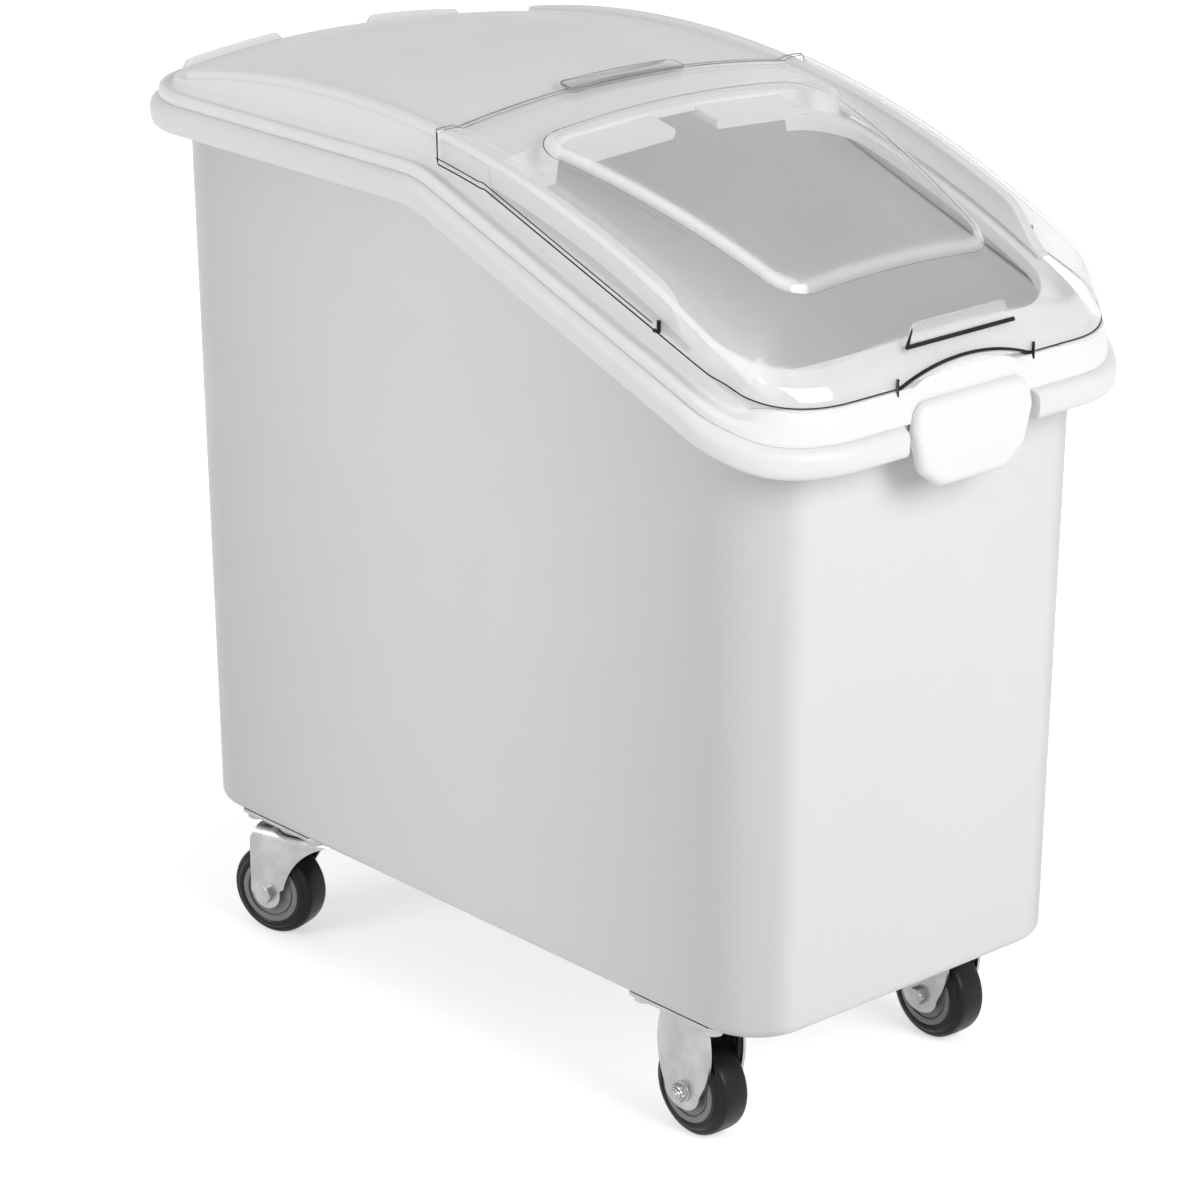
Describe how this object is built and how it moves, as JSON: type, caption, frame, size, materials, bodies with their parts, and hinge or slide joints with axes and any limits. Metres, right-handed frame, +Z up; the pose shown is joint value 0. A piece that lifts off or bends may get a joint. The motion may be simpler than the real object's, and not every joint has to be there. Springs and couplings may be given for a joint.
{
  "type": "rolling flour bin",
  "caption": "Sloped-front rolling food bin with a rolled lip, a white domed lid frame, a clear cover that slides back over the dome, a shield grip plate and rigid and swivel casters.",
  "frame": {"origin": "on the floor under the middle of the bounding box", "axes": "+Z up, -Y towards the front with the grip plate, +X to the bin's left as seen by someone facing its front"},
  "size_m": [0.3988, 0.7544, 0.7492],
  "materials": {
    "bin_shell": "satin moulded polyethylene, pale grey white",
    "lid_white": "smooth moulded white plastic",
    "cover_clear": "clear polycarbonate",
    "zinc": "bright zinc plated pressed steel",
    "tread": "smooth black tyre",
    "hub": "grey moulded hub",
    "insert_brass": "plain brass"
  },
  "bodies": {
    "bin": {"bin": "bin_shell", "base_inserts": "insert_brass", "plate_bolts": "zinc", "rigid_fork_left": "zinc", "rigid_fork_right": "zinc", "front_axles": "zinc", "front_sleeves": "zinc", "front_nuts": "zinc", "swivel_mount_left": "zinc", "swivel_mount_right": "zinc", "king_pins": "zinc"},
    "lid": {"lid_frame": "lid_white", "grip_plate": "lid_white", "grip_screws": "zinc"},
    "cover": {"sliding_cover": "cover_clear"},
    "swivel_left": {"swivel_fork_left": "zinc", "rear_axle_left": "zinc", "rear_sleeve_left": "zinc", "rear_nut_left": "zinc"},
    "swivel_right": {"swivel_fork_right": "zinc", "rear_axle_right": "zinc", "rear_sleeve_right": "zinc", "rear_nut_right": "zinc"},
    "wheel_front_left": {"tyre_front_left": "tread", "hub_front_left": "hub"},
    "wheel_front_right": {"tyre_front_right": "tread", "hub_front_right": "hub"},
    "wheel_rear_left": {"tyre_rear_left": "tread", "hub_rear_left": "hub"},
    "wheel_rear_right": {"tyre_rear_right": "tread", "hub_rear_right": "hub"}
  },
  "joints": [
    {"name": "lid_lift", "type": "slide", "parent": "bin", "child": "lid", "axis": [0, 0, 1], "range_m": [0, 0.25]},
    {"name": "cover_slide", "type": "hinge", "parent": "lid", "child": "cover", "pos_m": [0, 0.1209, -0.17201], "axis": [-1, 0, 0], "range_deg": [0, 16]},
    {"name": "swivel_turn_left", "type": "hinge", "parent": "bin", "child": "swivel_left", "pos_m": [-0.1255, 0.2378, 0.09], "axis": [0, 0, 1], "continuous": true},
    {"name": "swivel_turn_right", "type": "hinge", "parent": "bin", "child": "swivel_right", "pos_m": [0.1255, 0.2378, 0.09], "axis": [0, 0, 1], "continuous": true},
    {"name": "spin_front_left", "type": "hinge", "parent": "bin", "child": "wheel_front_left", "pos_m": [-0.1255, -0.2338, 0.0381], "axis": [1, 0, 0], "continuous": true},
    {"name": "spin_front_right", "type": "hinge", "parent": "bin", "child": "wheel_front_right", "pos_m": [0.1255, -0.2338, 0.0381], "axis": [1, 0, 0], "continuous": true},
    {"name": "spin_rear_left", "type": "hinge", "parent": "swivel_left", "child": "wheel_rear_left", "pos_m": [-0.13477, 0.26633, 0.0381], "axis": [0.9511, 0.309, 0], "continuous": true},
    {"name": "spin_rear_right", "type": "hinge", "parent": "swivel_right", "child": "wheel_rear_right", "pos_m": [0.11623, 0.26633, 0.0381], "axis": [0.9511, 0.309, 0], "continuous": true}
  ]
}
